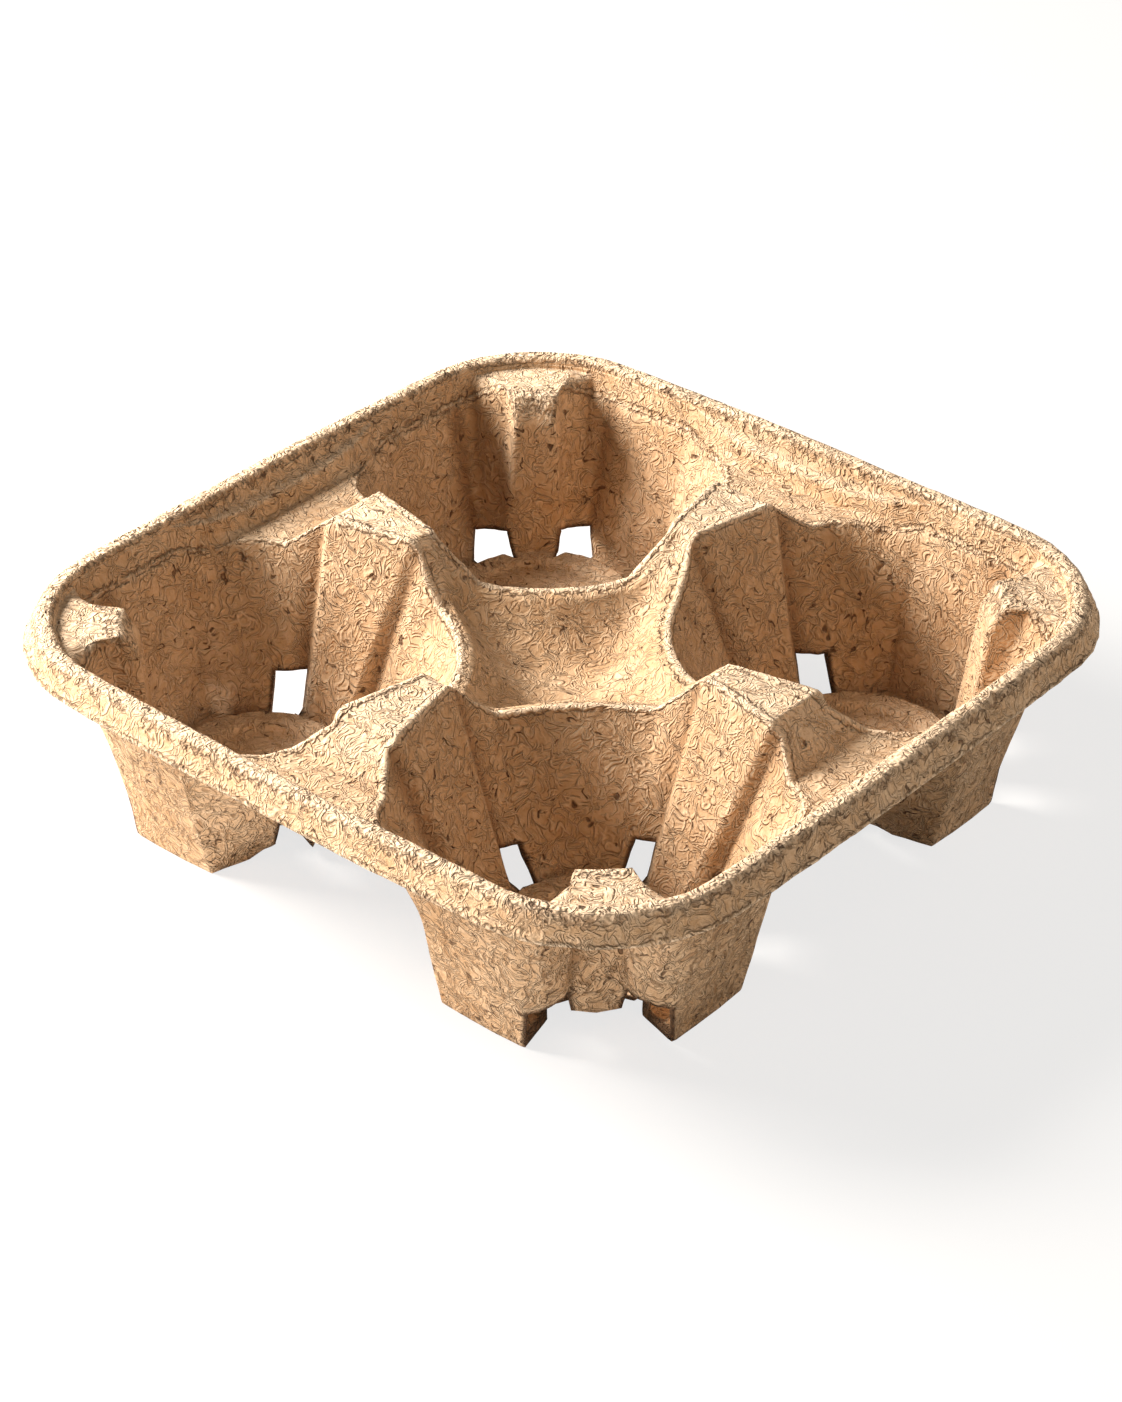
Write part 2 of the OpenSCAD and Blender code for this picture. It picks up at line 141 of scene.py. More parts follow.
# The upper face of one eighth of the tray as rays that leave a pocket's axis: each ray is a line of
# folds from the dished floor over the ring, the foot, the wall and the brim to the middle plane of the
# tray, or on over the rim to the lip.
def foldedLines():
    t = tray
    rimRays = len(sideShares)
    stepWidth = np.minimum(t["stepWidth"],
                           np.maximum(t["browRun"]/4, fromAxis(rimPlan(rimInset)) - t["brimRadius"]))
    slopeLevel = rimTop - t["rimEdge"] - mix(t["browRun"]/2, t["shelfDrop"] - t["rimEdge"],
                                             stepWidth/t["stepWidth"])
    inner = rimPlan(rimInset + stepWidth)
    rise = np.clip((t["brimRadius"] + t["browRun"] - fromAxis(inner))/t["browRun"], 0, 1)
    isCap, isNose = np.arange(rimRays) > rimRays - 4, np.arange(rimRays) > rimRays - 3
    rimBrim = np.where(isNose, t["noseRadius"], np.where(
        isCap, t["flareRadius"], np.minimum(t["brimRadius"], fromAxis(inner) - t["browRun"])))
    rimBrimLevel = np.where(isCap, rimTop - t["capDrop"], slopeLevel - rise*t["browDrop"])

    # The brim, from the saddle up to the tower, along its top, down its slope and along the rim
    towerLevel, saddleLevel = rimTop - t["towerDrop"], rimTop - t["saddleDrop"]
    inCorner = np.array([t["towerIn"], t["towerInHalf"]])
    outCorner = np.array([t["towerOut"], t["towerOutHalf"]])
    inAngle, outAngle = angleOf(inCorner), angleOf(outCorner)
    ridgeAngles = inAngle*np.array([0, 0.21, 0.42, 0.6, 0.78, 0.93])
    slopeAngles = mix(outAngle, 81, np.array([0.08, 0.22, 1]))
    brimAngles = np.array([88, 95, 104, 116, 128, 140, 150, 159, 168.5, 169, 180])
    brims = np.concatenate([
        withHeight(aroundPocket(ridgeAngles, t["brimRadius"]),
                   mix(saddleLevel, towerLevel, np.array([0, 0, 0, 0.04, 0.45, 0.88]))),
        withHeight(np.stack([inCorner, (inCorner + outCorner)/2, outCorner]), towerLevel),
        withHeight(aroundPocket(slopeAngles, fromAxis(outCorner)),
                   mix(towerLevel, rimTop - t["shelfDrop"], np.array([0.1, 0.26, 1]))),
        withHeight(aroundPocket(brimAngles, rimBrim), rimBrimLevel)])
    ridgeRays, innerRays = len(ridgeAngles), len(ridgeAngles) + 3 + len(slopeAngles)
    rays = len(brims)

    # The wall's plan at the level of the floor
    footAngles = np.array([0, 8, 15, 21, 27, 33, 38, 46, 54, 62, 69, 77.5, 86, 93, 100, 112, 124, 138,
                           150, 155, 160, 165, 180])
    sideRadius = mix(t["facetRadius"], t["seatRadius"], 0.6)
    box = t["footRadius"]/np.cos(np.radians(np.array([112, 124, 138, 150]) - 135))
    seat, fold, facet, rib = t["seatRadius"], t["foldRadius"], t["facetRadius"], t["ribRadius"]
    footRadii = np.array([
        *[seat]*4, mix(seat, fold, 0.6), fold, *[facet]*4, fold, sideRadius, sideRadius,
        mix(sideRadius, t["footRadius"], 0.2), mix(sideRadius, t["footRadius"], 0.6), *box,
        mix(rib, box[-1], 0.66), mix(rib, box[-1], 0.33), rib, rib])
    footShares = np.array([0]*13 + [0.35, 0.8, 1, 1, 1, 1, 0.45, 0.1, -1, -1])
    channelLevel = np.where(footShares < 0, floorLevel,
                            mix(floorLevel - t["channelDrop"], t["wall"], footShares))
    ray = np.arange(rays)
    ribStart, ribEnd = ventRays[2]
    slant = 1 - t["ribVentSlant"]*np.clip((ribEnd - ray)/(ribEnd - ribStart), 0, 1)
    ventTop = floorLevel + np.where(ray < innerWallEnd, t["innerVentHeight"], np.where(
        ray < outerWallEnd, t["outerVentHeight"], t["ribVentHeight"]*slant))

    nose = ray >= innerRays + rimRays - 2
    low = brims.copy()
    back = np.where(nose, t["noseRun"], t["brimEdge"])/fromAxis(brims)
    low[:, :2] = quarterAxis + (brims[:, :2] - quarterAxis)*(1 - back)[:, None]
    low[:, 2] -= np.where(nose, t["noseDrop"], t["brimEdge"])
    # A groove beside each tower face runs up to the tower's corner
    for side in grooveRays:
        outwards = (brims[side, :2] - quarterAxis)/fromAxis(brims[side])
        low[side, :2] += outwards*t["grooveDepth"]
        brims[side, :2] += outwards*t["grooveDepth"]*t["grooveAtBrim"]
        brims[side, 2] -= t["grooveDepth"]*t["grooveSink"]
    wallFoot = withHeight(aroundPocket(footAngles, footRadii), floorLevel)

    def onWall(level):
        return mix(wallFoot, low, ((level - floorLevel)/(low[:, 2] - floorLevel))[:, None])

    ventEdge = onWall(ventTop)
    # These edges of the vents lean inward
    for side, towards in ((ventRays[0][0], 1), (ventRays[1][1], -1), (ribStart, 1), (ribEnd, -1)):
        ventEdge[side] = mix(ventEdge[side], ventEdge[side + towards], t["ventPinch"])
    ring = np.minimum(t["ringRadius"], footRadii - t["ringGap"])

    def onFloor(radius, level):
        return withHeight(aroundPocket(footAngles, radius), level)

    # Where each ray ends: in the dish or on the tower at the middle plane, or at the foot of the rim
    dishX = quarterAxis - quarterAxis*np.tan(np.radians(45 - ridgeAngles))
    dishLevel = mix(rimTop - t["wellDrop"], towerLevel,
                    (np.maximum(0, dishX - t["wellFlat"])/(t["towerIn"] - t["wellFlat"]))**1.6)
    goal = brims.copy()
    goal[:, 1] = 0
    goal[:ridgeRays, 0], goal[:ridgeRays, 2] = dishX, dishLevel
    goal[ridgeRays] = [t["towerIn"], 0, towerLevel]
    goal[innerRays:] = withHeight(inner, slopeLevel)
    reach = np.hypot(*(goal - brims)[:, :2].T)
    stripWidth = np.where(nose, t["flareRadius"] - t["noseRadius"], t["ridgeWidth"])
    ridgeShare = np.minimum(stripWidth, reach*0.45)/reach
    dish = ray < ridgeRays
    ridgeEnd = mix(brims, goal, ridgeShare[:, None])
    ridgeEnd[dish, 2] = mix(brims[dish, 2], goal[dish, 2], 0.06)
    beyond = []
    for share in (0.2, 0.42, 0.7):
        point = mix(ridgeEnd, goal, share)
        point[dish, 2] = mix(goal[dish, 2], ridgeEnd[dish, 2], (1 - share)**1.7)
        beyond.append(point)

    pocket = np.stack([
        onFloor(t["dishRadius"], floorLevel - t["dishDrop"]),
        onFloor(t["dishRadius"] + t["dishDrop"], floorLevel),
        onFloor(ring, floorLevel),
        onFloor(ring + t["brimEdge"]/2, channelLevel),
        onWall(channelLevel), ventEdge, low, brims, ridgeEnd, *beyond, goal], 1)

    stepLevel = rimTop - t["rimEdge"]
    rim = np.stack([
        goal[innerRays:],
        withHeight(rimPlan(rimInset + 0.72*stepWidth), mix(stepLevel, slopeLevel, 0.5)),
        withHeight(rimPlan(rimInset + 0.3*stepWidth), mix(stepLevel, slopeLevel, 0.42)),
        withHeight(rimPlan(rimInset), stepLevel),
        withHeight(rimPlan(rimInset - t["rimEdge"]), rimTop),
        withHeight(rimPlan(t["lipFlare"] + t["rimEdge"]), rimTop),
        withHeight(rimPlan(t["lipFlare"]), stepLevel),
        *(withHeight(rimPlan(t["lipFlare"]*(1 - share) + inset),
                     mix(stepLevel, rimTop - t["lipDrop"], share))
          for share, inset in ((0.5, 0), (0.62, t["lipLine"]), (0.76, 0), (1, 0)))], 1)
    return pocket, rim


def unit(vectors):
    return vectors/np.maximum(np.linalg.norm(vectors, axis=-1, keepdims=True), 1e-9)


# The lower face of a grid of folds: each point moves by the wall's thickness square to the two strips
# that meet at it, along the mitre between them.
def underFace(grid, before, after, inwards, outwards):
    around = after - before
    strips = []
    for inside, outside in ((inwards, grid), (grid, outwards)):
        normal = unit(np.cross(around, outside - inside))
        strips.append(normal*np.sign(normal[..., 2:3] + 1e-12))
    first, second = strips
    lean = 1 + (first*second).sum(-1, keepdims=True)
    return grid - tray["wall"]*(first + second)/lean


def bothHalves(half):
    # The other half of a quarter is the same rays with X and Y swapped
    return np.concatenate([half, half[-2::-1][..., [1, 0, 2]]], 0)


def controlGrids():
    pocketHalf, rimHalf = foldedLines()
    pocket = bothHalves(pocketHalf)[:-1]
    rim = bothHalves(rimHalf)
    columns, rimFirst = len(pocket), len(pocketHalf) - len(rimHalf)
    rimLast = columns - rimFirst
    inRim = np.arange(rimFirst, rimLast + 1)
    acrossX, acrossY = np.array([-1, 1, 1]), np.array([1, -1, 1])
    side = np.arange(columns) < len(pocketHalf)

    # What lies beyond the last row: its mirror image, or the first row of the rim
    hub = np.broadcast_to(pocketMiddle, (columns, 1, 3))
    lastRow = pocket[:, -2:-1]*np.where(side[:, None, None], acrossY, acrossX)
    lastRow[0] = pocket[0, -2]*[-1, -1, 1]
    lastRow[inRim, 0] = rim[:, 1]
    before, after = np.roll(pocket, 1, 0), np.roll(pocket, -1, 0)
    before[rimFirst, -1] = pocket[rimFirst + 1, -1]*acrossY
    after[rimLast, -1] = pocket[rimLast - 1, -1]*acrossX
    pocketUnder = underFace(pocket, before, after, np.concatenate([hub, pocket[:, :-1]], 1),
                            np.concatenate([pocket[:, 1:], lastRow], 1))

    before = np.concatenate([rim[1:2]*acrossY, rim[:-1]], 0)
    after = np.concatenate([rim[1:], rim[-2:-1]*acrossX], 0)
    inwards = np.concatenate([pocket[inRim, -2][:, None], rim[:, :-1]], 1)
    outwards = np.concatenate([rim[:, 1:], 2*rim[:, -1:] - rim[:, -2:-1]], 1)
    rimUnder = underFace(rim, before, after, inwards, outwards)

    # Points on the middle planes stay on them
    away = np.ones(columns, bool)
    away[rimFirst + 1:rimLast] = False
    pocketUnder[side & away, -1, 1] = 0
    pocketUnder[~side & away, -1, 0] = 0
    pocketUnder[0, -1, :2] = 0
    rimUnder[0, :, 1] = 0
    rimUnder[-1, :, 0] = 0
    pocketUnder[..., 2] = np.maximum(pocketUnder[..., 2], 0)
    return pocket, pocketUnder, rim, rimUnder, rimFirst, rimLast


# How the grid of folds is split, and how the pressed skin is roughened: sizes and amplitudes in millimetres
relief = {
    "columnWidth": 2.1, "rowSteps": [3, 2, 5, 3, 4, 5, 20, 2, 3, 3, 4, 5, 5],
    "rimRowSteps": [3, 2, 2, 2, 2, 2, 2, 1, 1, 2],
    "crowding": 0.8, "middleShare": 0.12,
    "rounding": 0.2, "softPasses": 25, "softening": 0.6,
    "ridgeScale": 0.22, "ridgeStart": 0.2, "ridgeSpan": 0.36, "ridgeSpread": 4,
    "lumpAmount": 0.22, "lumpSize": 15, "creaseAmount": 0.1, "creaseSize": 4.5,
    "edgeAmount": 0.5, "edgeSize": 3.4, "beadAmount": 0.42, "ridgeShare": 0.6, "cutShare": 0.8,
    "pleatAmount": 0.7, "pleatSize": 3.2, "swayAmount": 0.9, "swaySize": 70, "swayUpright": 0.4,
    "seed": 11,
}


# Splits every cell of a grid: positions are the straight mix of the cell's corners. The parts are narrower
# beside the folds, by a sine wave over the cell, so that the folds stay crisp.
def refined(grid, columnSteps, rowSteps):
    for axis, steps in ((0, columnSteps), (1, rowSteps)):
        even = [np.arange(n)/n for n in steps]
        crowding = [relief["crowding"]*min(1, 6/n) for n in steps]
        places = np.concatenate([i + e - c*np.sin(2*np.pi*e)/(2*np.pi)
                                 for i, (e, c) in enumerate(zip(even, crowding))] + [[len(steps)]])
        low = np.minimum(places.astype(int), len(steps) - 1)
        share = np.expand_dims(places - low, [a for a in range(3) if a != axis])
        grid = mix(np.take(grid, low, axis), np.take(grid, low + 1, axis), share)
    return grid


# Quads between neighbouring columns and rows of point numbers, without the cells that are left out.
def cells(numbers, columnSteps, rowSteps, left=None):
    corners = np.stack([numbers[:-1, :-1], numbers[:-1, 1:], numbers[1:, 1:], numbers[1:, :-1]], -1)
    if left is not None:
        column = np.repeat(np.arange(len(columnSteps)), columnSteps)
        row = np.repeat(np.arange(len(rowSteps)), rowSteps)
        return corners[~(left[column][:, None] & ((row >= ventRows[0]) & (row <= ventRows[1])))]
    return corners.reshape(-1, 4)


# Smooth noise between -1 and 1: random slopes on the corners of cubes of the given size, mixed inside
# each cube with a smooth step.
def latticeNoise(points, size, seed):
    scaled = points/size
    base = np.floor(scaled).astype(np.int64)
    local = scaled - base
    smooth = local**3*(local*(local*6 - 15) + 10)
    total = np.zeros(len(points))
    for corner in np.ndindex(2, 2, 2):
        cube = base + corner
        mixed = cube[:, 0]*73856093 ^ cube[:, 1]*19349663 ^ cube[:, 2]*83492791 ^ seed*2654435761
        slopes = []
        for turn in (1, 2, 3):
            mixed = (mixed*6364136223846793005 + 1442695040888963407*turn) & 0x7fffffffffffffff
            slopes.append((mixed >> 33)/2.0**30 % 2 - 1)
        away = local - corner
        weight = np.prod(np.where(np.array(corner) == 1, smooth, 1 - smooth), axis=1)
        total += weight*(np.stack(slopes, 1)*away).sum(1)
    return total*1.4


def pointNormals(points, quads):
    diagonals = np.cross(points[quads[:, 2]] - points[quads[:, 0]],
                         points[quads[:, 3]] - points[quads[:, 1]])
    normals = np.zeros_like(points)
    for corner in range(4):
        for axis in range(3):
            normals[:, axis] += np.bincount(quads[:, corner], diagonals[:, axis], len(points))
    return unit(normals)


# The mean over each point's neighbours, of a value or of several
def neighbourMeans(values, edges, counts):
    table = values.reshape(len(values), -1)
    sums = [np.bincount(edges[:, 0], column[edges[:, 1]], len(table)) for column in table.T]
    return (np.stack(sums, 1)/counts[:, None]).reshape(values.shape)


# The edges of all faces, each once for each face, without the empty side of a triangle
def faceEdges(faces):
    edges = np.stack([faces, np.roll(faces, -1, 1)], -1).reshape(-1, 2)
    return edges[edges[:, 0] != edges[:, 1]]


def withMiddle(grid, hub):
    # One more row round the middle of the floor
    return np.concatenate([mix(hub, grid[:, :1], relief["middleShare"]), grid], 1)


# 0 below low, 1 above high, or the other way round, with a smooth step between.
def band(value, low, high):
    share = np.clip((value - low)/(high - low), 0, 1)
    return share*share*(3 - 2*share)


# Marks on the folds, in three channels: where the crests run, where the shallow folds of the dish melt
# away, and where grooves run up the wall; the finish paints light along the crests and shade along the
# grooves. Rows count from the middle of the pocket's floor.
def foldMarks(columns, rimFirst, rimLast, rimShape):
    wallFoot, brim, dishStart = 6, 8, 10
    crest, soft, groove = range(3)
    pocketMarks = np.zeros((columns + 1, len(relief["rowSteps"]) + 1, 3))
    pocketMarks[:, brim, crest] = 1
    pocketMarks[rimFirst:rimLast + 1, brim, crest] = 0.6
    for besideDish in (slice(0, 6), slice(columns - 5, columns + 1)):
        pocketMarks[besideDish, dishStart:, soft] = 1
    for ray in (*grooveRays, ventRays[2][0]):
        pocketMarks[[ray, columns - ray], wallFoot:brim + 1, groove] = 1, 1, 0.5
    rimMarks = np.zeros((*rimShape, 3))
    rimMarks[..., crest] = [0, 0, 0, 0.35, 0.65, 0.65, 0.35, 0, 0, 0, 0.7]
    return pocketMarks, rimMarks


# The refined folds of the whole tray: four mirrored quarters, each with its pocket and its stretch of rim.
# Gives the upper and the lower points, their marks, the quads, and the middle and first ring of each floor.
def fineQuarters():
    pocket, pocketUnder, rim, rimUnder, rimFirst, rimLast = controlGrids()
    columns = len(pocket)
    ringed, ringedUnder = (np.concatenate([grid, grid[:1]], 0) for grid in (pocket, pocketUnder))
    brimSpans = np.hypot(*np.diff(ringed[:, 7, :2], axis=0).T)
    columnSteps = np.maximum(2, np.round(brimSpans/relief["columnWidth"])).astype(int)
    left = np.zeros(columns, bool)
    for first, last in ventRays:
        left[first:last] = True
        left[columns - last:columns - first] = True
    pocketMarks, rimMarks = foldMarks(columns, rimFirst, rimLast, rim.shape[:2])
    upperParts, lowerParts, markParts, quadParts, hubParts = [], [], [], [], []
    start = 0
    for signs in ((1, 1), (-1, 1), (-1, -1), (1, -1)):
        flip = np.array([*signs, 1])
        outwards = signs[0]*signs[1] > 0
        for top, under, marks, steps, rows, mask in (
                (withMiddle(ringed, pocketMiddle), withMiddle(ringedUnder, pocketMiddle - wallDown),
                 pocketMarks, columnSteps, relief["rowSteps"], left),
                (rim, rimUnder, rimMarks, columnSteps[rimFirst:rimLast], relief["rimRowSteps"], None)):
            fineTop, fineUnder = refined(top, steps, rows)*flip, refined(under, steps, rows)*flip
            count = fineTop.shape[0]*fineTop.shape[1]
            numbers = start + np.arange(count).reshape(fineTop.shape[:2])
            quads = cells(numbers, steps, rows, mask)
            quadParts.append(quads if outwards else quads[:, ::-1])
            if mask is not None:  # the middle of the floor
                ring = np.stack([numbers[:-1, 0], numbers[1:, 0]], 1)
                hubParts.append((pocketMiddle*flip, ring if outwards else ring[:, ::-1]))
            markParts.append(refined(marks, steps, rows).reshape(-1, 3))
            upperParts.append(fineTop.reshape(-1, 3))
            lowerParts.append(fineUnder.reshape(-1, 3))
            start += count
    return *(np.concatenate(parts) for parts in (upperParts, lowerParts, markParts, quadParts)), hubParts


# The closed skin: points that meet at the seams become one, fans fill the middles of the floors, and walls
# join the upper and the lower face along the vents and the lip. A triangle is a quad that ends twice.
def closedSkin():
    upper, lower, marks, quads, hubParts = fineQuarters()
    _, kept, numbers = np.unique(np.round(upper, 3) + 0.0, axis=0, return_index=True, return_inverse=True)
    numbers = numbers.reshape(-1)
    upper, lower, marks, quads = upper[kept], lower[kept], marks[kept], numbers[quads]
    fans = []
    for hub, (_, ring) in enumerate(hubParts, len(upper)):
        first, second = numbers[ring].T
        fans.append(np.stack([np.full(len(first), hub), first, second, second], 1))
    hubPoints = np.stack([point for point, _ in hubParts])
    upper = np.concatenate([upper, hubPoints])
    lower = np.concatenate([lower, hubPoints - wallDown])
    faces = np.concatenate([quads, *fans])
    total = len(upper)
    marks = np.concatenate([marks, np.zeros((total - len(marks), 3))])

    # An edge with a face on one side only is a border of the upper face
    edges = faceEdges(faces)
    codes = edges[:, 0]*total + edges[:, 1]
    border = edges[~np.isin(edges[:, 1]*total + edges[:, 0], codes)]
    walls = np.stack([border[:, 1], border[:, 0], border[:, 0] + total, border[:, 1] + total], 1)
    faces = np.concatenate([faces, faces[:, ::-1] + total, walls])
    crest, groove = (np.concatenate([marks[:, channel], np.zeros(total)]) for channel in (0, 2))
    soft = np.tile(marks[:, 1], 2)
    outer = np.repeat([0.0, 1.0], total)
    onEdge = np.zeros(2*total)
    onEdge[np.unique(walls)] = 1
    used, faces = np.unique(faces, return_inverse=True)  # points inside the vents go
    values = (np.concatenate([upper, lower]), crest, groove, soft, outer, onEdge)
    return faces.reshape(-1, 4), *(value[used] for value in values)


# Pleats on the corner hoods: a box along and across the tray's diagonal, with soft borders
def hoodShare(points):
    side = np.abs(points[:, :2])
    along, across = (side[:, 0] + side[:, 1])/2**0.5, np.abs(side[:, 0] - side[:, 1])/2**0.5
    start = quarterAxis*2**0.5
    return band(along, start + 27, start + 31)*band(across, 14, 9) \
        * band(points[:, 2], rimTop - 15, rimTop - 5)


# The pressed skin: the closed skin, rounded by pulling each point towards its neighbours, then moved along
# its normal by noise that is strongest on the ridges, and swayed as a whole. Gives the points, the faces
# and what the finish needs to know about each point.
def traySkin():
    r = relief
    faces, points, crest, groove, soft, outer, onEdge = closedSkin()
    edges = faceEdges(faces)
    counts = np.bincount(edges[:, 0], minlength=len(points)).astype(float)

    # How far a point stands above its neighbours, as a share of their distance: above 0 on ridges, below
    # in grooves
    spans = np.linalg.norm(points[edges[:, 0]] - points[edges[:, 1]], axis=1)
    reach = np.bincount(edges[:, 0], spans, len(points))/counts
    above = ((points - neighbourMeans(points, edges, counts))*pointNormals(points, faces)).sum(1)
    sharp = above/reach/r["ridgeScale"]
    ridge = np.sign(sharp)*np.clip((np.abs(sharp) - r["ridgeStart"])/r["ridgeSpan"], 0, 1)
    for _ in range(r["ridgeSpread"]):
        ridge = mix(ridge, neighbourMeans(ridge, edges, counts), 0.5)
    points = mix(points, neighbourMeans(points, edges, counts), r["rounding"])
    for _ in range(r["softPasses"]):
        points = mix(points, neighbourMeans(points, edges, counts), r["softening"]*soft[:, None])
    normals = pointNormals(points, faces)
    onEdge = np.maximum(onEdge, neighbourMeans(onEdge, edges, counts))
    cutEdge = onEdge*band(points[:, 2], rimTop - 12, rimTop - 20)

    seed = r["seed"]
    rough = np.maximum(np.maximum(crest, r["ridgeShare"]*np.clip(ridge, 0, 1)), r["cutShare"]*onEdge)
    lift = r["lumpAmount"]*latticeNoise(points, r["lumpSize"], seed + 1)
    lift += r["creaseAmount"]*latticeNoise(points, r["creaseSize"], seed + 2)
    lift += rough*(r["edgeAmount"]*latticeNoise(points, r["edgeSize"], seed + 3) + r["beadAmount"])
    lift += hoodShare(points)*r["pleatAmount"]*latticeNoise(points*[1, 1, 0.5], r["pleatSize"], seed + 9)
    points = points + normals*lift[:, None]
    sway = np.stack([latticeNoise(points, r["swaySize"], seed + 4 + axis) for axis in range(3)], 1)
    points = points + r["swayAmount"]*sway*[1, 1, r["swayUpright"]]
    points = np.clip(points, [cadLow[0]/mm, cadLow[1]/mm, 0], cadHigh/mm)

    # Upward faces near the rim and on the floors, which the finish paints paler: painted light on the tops
    # and floors, not a colour of the pulp
    raised = (1 - outer)*band(normals[:, 2], 0.35, 0.9)*(
        band(points[:, 2], rimTop - 15, rimTop - 4) + 0.8*band(np.abs(points[:, 2] - floorLevel), 3, 1.5))
    return points, faces, {"ridge": ridge, "crest": crest, "groove": groove, "cutEdge": cutEdge,
                           "outerFace": outer, "raised": raised}


def meshObject(name, points, faces):
    triangle = faces[:, 2] == faces[:, 3]
    loops = np.concatenate([faces[~triangle].reshape(-1), faces[triangle][:, :3].reshape(-1)])
    sizes = np.concatenate([np.full((~triangle).sum(), 4), np.full(triangle.sum(), 3)])
    mesh = bpy.data.meshes.new(name)
    mesh.vertices.add(len(points))
    mesh.vertices.foreach_set("co", (points*mm).astype(np.float32).reshape(-1))
    mesh.loops.add(len(loops))
    mesh.loops.foreach_set("vertex_index", loops.astype(np.int32))
    mesh.polygons.add(len(sizes))
    mesh.polygons.foreach_set("loop_start", np.concatenate([[0], np.cumsum(sizes)[:-1]]).astype(np.int32))
    mesh.polygons.foreach_set("use_smooth", np.ones(len(sizes), bool))
    mesh.update(calc_edges=True)
    mesh.validate()
    made = bpy.data.objects.new(name, mesh)
    bpy.context.scene.collection.objects.link(made)
    return made


def addAttribute(piece, name, values):
    layer = piece.data.attributes.new(name, "FLOAT", "POINT")
    layer.data.foreach_set("value", values.astype(np.float32))


# A node socket that Python's operators work on: each operation adds one Math node.
class Wire:
    def __init__(self, graph, socket):
        self.graph, self.socket = graph, socket

    def maths(self, operation, *others):
        values = [other.socket if isinstance(other, Wire) else other for other in others]
        return self.graph.node("ShaderNodeMath", {"operation": operation}, [self.socket, *values])

    def reflected(self, operation, first):
        return self.graph.node("ShaderNodeMath", {"operation": operation}, [first, self.socket])

    def __add__(self, other): return self.maths("ADD", other)
    def __radd__(self, other): return self.maths("ADD", other)
    def __sub__(self, other): return self.maths("SUBTRACT", other)
    def __rsub__(self, other): return self.reflected("SUBTRACT", other)
    def __mul__(self, other): return self.maths("MULTIPLY", other)
    def __rmul__(self, other): return self.maths("MULTIPLY", other)
    def __abs__(self): return self.maths("ABSOLUTE")


# The nodes of a material or of the world
class Graph:
    def __init__(self, owner):
        owner.use_nodes = True
        self.tree = owner.node_tree
        self.tree.nodes.clear()

    def node(self, kind, settings=None, values=(), output=0):
        made = self.tree.nodes.new(kind)
        for name, value in (settings or {}).items():
            setattr(made, name, value)
        pairs = values.items() if isinstance(values, dict) else enumerate(values)
        for key, value in pairs:
            target = made.inputs[key]
            source = value.socket if isinstance(value, Wire) else value
            if isinstance(source, bpy.types.NodeSocket):
                self.tree.links.new(source, target)
            else:
                target.default_value = source
        return made if output is None else Wire(self, made.outputs[output])

    def vector(self, operation, *values, output=0, scale=None):
        sockets = dict(enumerate(values)) if scale is None else {**dict(enumerate(values)), "Scale": scale}
        return self.node("ShaderNodeVectorMath", {"operation": operation}, sockets, output)

    def band(self, value, low, high, smooth=True):
        # 0 below low, 1 above high, or the other way round
        kind = "SMOOTHSTEP" if smooth else "LINEAR"
        return self.node("ShaderNodeMapRange", {"interpolation_type": kind}, [value, low, high, 0.0, 1.0])

    def blend(self, share, first, second):
        made = self.node("ShaderNodeMix", {"data_type": "RGBA"}, {0: share, 6: first, 7: second}, None)
        return Wire(self, made.outputs[2])


# Kraft pulp: linear colours, sizes in metres, and how high or deep each form is as a share of the bump
pulp = {
    # The pale colour is painted light on upward faces and crests; the deep colour is painted shade in
    # hollows, grooves and beside the fibres, and also the colour of the dents
    "light": (0.80, 0.58, 0.385, 1), "middle": (0.55, 0.335, 0.18, 1), "paintedLight": (0.92, 0.73, 0.54, 1),
    "deep": (0.27, 0.13, 0.052, 1), "crack": (0.10, 0.042, 0.016, 1), "roughness": 0.9, "shine": 0.25,
    "strandCells": (0.0028, 0.0037, 0.0022), "strandWidth": 0.0002, "strandBend": 0.5,
    "wanderScale": 170.0, "wanderReach": 0.0055, "swirlSize": 0.0075, "swirlTurns": 14.0,
    "swirlPatch": 0.0042, "crackCell": 0.0052, "crackPatch": 0.003, "dentSize": 0.0015,
    "grainSize": 0.0006, "cloudSize": 0.022, "lumpSize": 0.0023, "raggedSize": 0.0017,
    "seamPatch": 0.0036, "fleckScale": 330.0,
    "bumpDepth": 0.0007, "fibreHeight": 0.6, "swirlHeight": 0.2, "grainHeight": 0.34, "lumpHeight": 0.3,
    "crestHeight": 0.7, "besideDepth": 0.4, "crackDepth": 0.9, "dentDepth": 0.9, "seamDepth": 0.9,
}


# Short curved fibres: around each scattered centre, the points near a randomly turned, slightly bent
# sheet, as far as about half a cell. Where such a sheet cuts the skin it shows as one strand.
def strands(graph, place, cell, seed):
    width = pulp["strandWidth"]
    moved = graph.vector("ADD", place, (seed*0.13, seed*0.29, seed*0.41))
    scatter = graph.node("ShaderNodeTexVoronoi", {"feature": "F1"},
                         {"Vector": moved, "Scale": 1/cell, "Randomness": 1.0}, None)
    centre, tint = (Wire(graph, scatter.outputs[name]) for name in ("Position", "Color"))
    local = graph.vector("SUBTRACT", moved, centre)
    facing = graph.vector("NORMALIZE", graph.vector("SUBTRACT", tint, (0.5, 0.5, 0.5)))
    across = graph.vector("DOT_PRODUCT", local, facing, output="Value")
    away = graph.vector("LENGTH", local, output="Value")
    distance = across + away*away*(pulp["strandBend"]/cell)
    reach = graph.band(away, cell*0.85, cell*0.5)
    line = graph.band(abs(distance), width*1.5, width*0.25)*reach
    # A painted shadow along one side of each strand, also used as a dip in the height
    shadow = graph.band(abs(distance - width*1.5), width*0.8, 0.0)*reach
    return line, shadow
